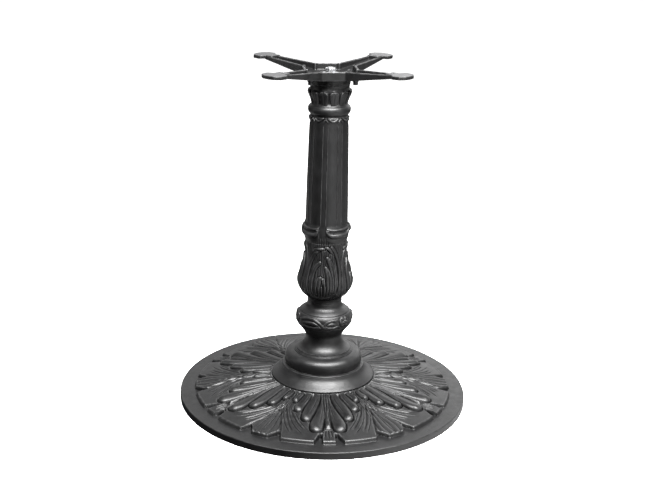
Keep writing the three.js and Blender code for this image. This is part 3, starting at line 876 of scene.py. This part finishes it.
def finish(name, dark, light, metallic, roughness, grain, bump_height, worn, wear):
    """Procedural finish: mottled colour, uneven roughness, fine grain, painted shade in the hollows (a darker
    colour and less shine), edges worn to another colour, and grey where the table top rubs."""
    material, tree = new_material(name)
    shader = tree.nodes["Principled BSDF"]
    place = add(tree, "ShaderNodeTexCoord").outputs["Object"]
    geometry = add(tree, "ShaderNodeNewGeometry").outputs

    def noise(scale, detail):
        node = add(tree, "ShaderNodeTexNoise", Scale=scale, Detail=detail)
        feed(tree, place, node.inputs["Vector"])
        return node.outputs["Fac"]

    mottle = ramp(tree, noise(38, 6), [(0.35, dark), (0.68, light)])
    edges = ramp(tree, geometry["Pointiness"], [(0.505, 0.0), (0.56, 1.0)])
    patches = ramp(tree, noise(90, 4), [(0.4, 0.15), (0.65, 1.0)])
    # Painted shade: hollows (low pointiness) get a darker colour, standing in for the shade that falls in
    # them.
    painted_hollow_shade = ramp(tree, geometry["Pointiness"], [(0.42, 0.0), (0.497, 1.0)])
    parts = add(tree, "ShaderNodeSeparateXYZ")
    feed(tree, geometry["Position"], parts.inputs["Vector"])
    rubbed = stretched(tree, parts.outputs["Z"], (TABLE_FACE - 0.6) * MM, (TABLE_FACE - 0.2) * MM)
    colour = mix(tree, times(tree, times(tree, edges, patches), wear), mottle, (*worn, 1))
    colour = mix(tree, 0.9, colour, painted_hollow_shade, "MULTIPLY")
    colour = mix(tree, rubbed, colour, RUBBED_GREY)
    # Painted shade in the reflections: the same hollows get a lower specular level.
    shine = ramp(tree, geometry["Pointiness"], [(0.42, 0.08), (0.497, 0.5)])
    uneven = ramp(tree, noise(70, 5), [(0.3, roughness[0]), (0.7, roughness[1])])
    relief = add(tree, "ShaderNodeBump", Strength=0.6, Distance=bump_height)
    feed(tree, noise(grain, 8), relief.inputs["Height"])
    feed(tree, colour, shader.inputs["Base Color"])
    feed(tree, metallic, shader.inputs["Metallic"])
    feed(tree, shine, shader.inputs["Specular IOR Level"])
    feed(tree, uneven, shader.inputs["Roughness"])
    feed(tree, relief.outputs["Normal"], shader.inputs["Normal"])
    return material


IRON = finish(
    "painted_iron", dark=(0.0015, 0.0015, 0.0016), light=(0.004, 0.004, 0.0042), metallic=0.0,
    roughness=(0.39, 0.49), grain=620, bump_height=0.0004, worn=(0.075, 0.075, 0.076), wear=0.8,
)
ZINC = finish(
    "zinc_plate", dark=(0.52, 0.53, 0.55), light=(0.72, 0.73, 0.74), metallic=1.0,
    roughness=(0.26, 0.42), grain=900, bump_height=0.0002, worn=(0.85, 0.85, 0.86), wear=0.7,
)
BLACK_STEEL = finish(
    "black_oxide", dark=(0.02, 0.02, 0.022), light=(0.045, 0.045, 0.048), metallic=0.7,
    roughness=(0.34, 0.5), grain=900, bump_height=0.0002, worn=(0.14, 0.14, 0.145), wear=0.7,
)
NYLON = finish(
    "moulded_nylon", dark=(0.016, 0.016, 0.017), light=(0.03, 0.03, 0.032), metallic=0.0,
    roughness=(0.5, 0.68), grain=700, bump_height=0.0003, worn=(0.06, 0.06, 0.062), wear=0.5,
)


# ---- the pieces on their bodies --------------------------------------------------------------------
def put(piece, node, body, material):
    """Gives a piece its finish and its place in the frame, and hides the CAD node it stands for."""
    piece.data.materials.append(material)
    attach(piece, body)
    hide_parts(node)


castings = {
    "base_plate": base_plate(),
    "plinth_skirt": plinth_skirt(),
    "plinth_dome": plinth_dome(),
    "knop": knop(),
    "acanthus_vase": vase(),
    "fluted_shaft": shaft(),
    "capital": capital(),
    "spider": spider(),
}
for node, piece in castings.items():
    put(piece, node, ROOT, IRON)
for node, piece in tie_rod_set().items():
    put(piece, node, ROOT, ZINC)
for index in range(1, 5):
    for node, piece in arm_screw(index).items():
        put(piece, node, ROOT, BLACK_STEEL)
    put(foot_pad(index), f"foot_pad_{index}", f"pad_{index}", NYLON)
    put(foot_stud(index), f"foot_stud_{index}", f"stud_{index}", ZINC)


# ---- floor and light, metres and watts -------------------------------------------------------------
# How light the floor looks in the object's reflections: round the object, as a share of a turn from
# -X through -Y, and with the distance from it.
FLOOR_ROUND = [
    (0.0, 0.01), (0.2, 0.01), (0.26, 0.2), (0.32, 0.42), (0.42, 0.36), (0.55, 0.14), (0.75, 0.2),
    (0.93, 0.32), (0.97, 0.01),
]
FLOOR_OUTWARD = [(0.0, 1.0), (0.4, 0.8), (0.7, 0.08)]
FLOOR_REACH = 4.0
# How bright the surroundings are in the object's reflections, from the low to the high end of each axis.
ROOM_STRENGTH = 1.25
ROOM_FADES = {
    "X": [(0.1, 0.15), (0.4, 0.95), (0.6, 1.0)],
    "Y": [(0.3, 0.06), (0.5, 0.2), (0.65, 0.8), (0.9, 1.0)],
    "Z": [(0.5, 0.35), (0.62, 1.0), (0.76, 0.85), (0.88, 0.12)],
}


def studio_floor():
    """Plain white floor to the camera; in the object's reflections it is darker, most of all in front."""
    material, tree = new_material("floor_white")
    lit = add(tree, "ShaderNodeBsdfDiffuse", Color=(0.95, 0.95, 0.95, 1))
    glow = add(tree, "ShaderNodeEmission", Strength=0.8)
    shown = add(tree, "ShaderNodeAddShader")
    feed(tree, lit.outputs["BSDF"], shown.inputs[0])
    feed(tree, glow.outputs["Emission"], shown.inputs[1])
    place = add(tree, "ShaderNodeTexCoord").outputs["Object"]
    around = add(tree, "ShaderNodeTexGradient")
    around.gradient_type = "RADIAL"
    feed(tree, place, around.inputs["Vector"])
    distance = add(tree, "ShaderNodeVectorMath")
    distance.operation = "LENGTH"
    feed(tree, place, distance.inputs[0])
    outward = stretched(tree, distance.outputs["Value"], 0.0, FLOOR_REACH)
    shade = times(tree, ramp(tree, around.outputs["Fac"], FLOOR_ROUND), ramp(tree, outward, FLOOR_OUTWARD))
    mirrored = add(tree, "ShaderNodeBsdfDiffuse")
    feed(tree, shade, mirrored.inputs["Color"])
    surface = camera_sees(tree, shown.outputs["Shader"], mirrored.outputs["BSDF"])
    feed(tree, surface, tree.nodes["Material Output"].inputs["Surface"])
    return material


def studio_world():
    """White to the camera; to the object, bright behind and above and dim on the camera's side."""
    world = bpy.data.worlds.new("studio")
    world.use_nodes = True
    tree = world.node_tree
    place = add(tree, "ShaderNodeTexCoord")
    parts = add(tree, "ShaderNodeSeparateXYZ")
    feed(tree, place.outputs["Generated"], parts.inputs["Vector"])
    strength = ROOM_STRENGTH
    for axis, stops in ROOM_FADES.items():
        along = stretched(tree, parts.outputs[axis], -1.0, 1.0)
        strength = times(tree, ramp(tree, along, stops), strength)
    dim = tree.nodes["Background"]
    feed(tree, (1, 1, 1, 1), dim.inputs["Color"])
    feed(tree, strength, dim.inputs["Strength"])
    white = add(tree, "ShaderNodeBackground", Color=(1, 1, 1, 1), Strength=1.0)
    surface = camera_sees(tree, white.outputs["Background"], dim.outputs["Background"])
    feed(tree, surface, tree.nodes["World Output"].inputs["Surface"])
    bpy.context.scene.world = world


def sheet(name, low, high, z):
    """Flat rectangle from corner low to corner high at height z."""
    mesh = bpy.data.meshes.new(name)
    corners = [(low[0], low[1], z), (high[0], low[1], z), (high[0], high[1], z), (low[0], high[1], z)]
    mesh.from_pydata(corners, [], [(0, 1, 2, 3)])
    shape = bpy.data.objects.new(name, mesh)
    bpy.context.scene.collection.objects.link(shape)
    return shape


def soft_light(name, place, aim, width, depth, power):
    """Rectangular studio light at place, pointing at aim."""
    lamp = bpy.data.lights.new(name, "AREA")
    lamp.shape = "RECTANGLE"
    lamp.size = width
    lamp.size_y = depth
    lamp.energy = power
    shape = bpy.data.objects.new(name, lamp)
    shape.location = place
    shape.rotation_euler = (Vector(aim) - Vector(place)).to_track_quat("-Z", "Y").to_euler()
    bpy.context.scene.collection.objects.link(shape)


floor = sheet("floor", (-6, -4), (6, 8), 0.0)
floor.data.materials.append(studio_floor())
studio_world()
soft_light("overhead", (0.25, -0.95, 2.2), (0, 0, 0.2), 1.8, 1.15, 300)
soft_light("right_strip", (1.5, -0.9, 0.75), (0, 0, 0.45), 0.2, 1.3, 3)
soft_light("left_strip", (-1.7, 0.1, 0.75), (0, 0, 0.45), 0.2, 1.3, 2.5)
soft_light("backdrop", (1.5, 3.0, 1.2), (0, 0, 0.1), 2.6, 1.6, 20)
soft_light("front_fill", (0.75, -2.0, 0.6), (0, 0, 0.3), 0.35, 0.6, 4)

# ---- camera: how far from the axis and how high, metres, and how it is tilted, degrees -------------
CAMERA_REACH = 2.3731
CAMERA_HEIGHT = 1.1113
CAMERA_PITCH = 17.945
CAMERA_ROLL = -1.413
CAMERA_YAW = -0.176
CAMERA_AZIMUTH = -3.5
FOCAL_LENGTH = 66.9
SENSOR_WIDTH = 36


def main_camera():
    """Camera in front of the object and above it, looking down at the middle of the column."""
    lens = bpy.data.cameras.new("photo_camera")
    lens.sensor_width = SENSOR_WIDTH
    lens.lens = FOCAL_LENGTH
    camera = bpy.data.objects.new("photo_camera", lens)
    bpy.context.scene.collection.objects.link(camera)
    heading = math.radians(CAMERA_AZIMUTH)
    camera.location = (CAMERA_REACH * math.sin(heading), -CAMERA_REACH * math.cos(heading), CAMERA_HEIGHT)
    aim = Euler((math.radians(90 - CAMERA_PITCH), 0, heading - math.radians(CAMERA_YAW)), "XYZ").to_matrix()
    camera.rotation_euler = (aim @ Matrix.Rotation(math.radians(-CAMERA_ROLL), 3, "Z")).to_euler()
    return camera


bpy.context.scene.camera = main_camera()
bpy.context.scene.view_settings.view_transform = "Standard"
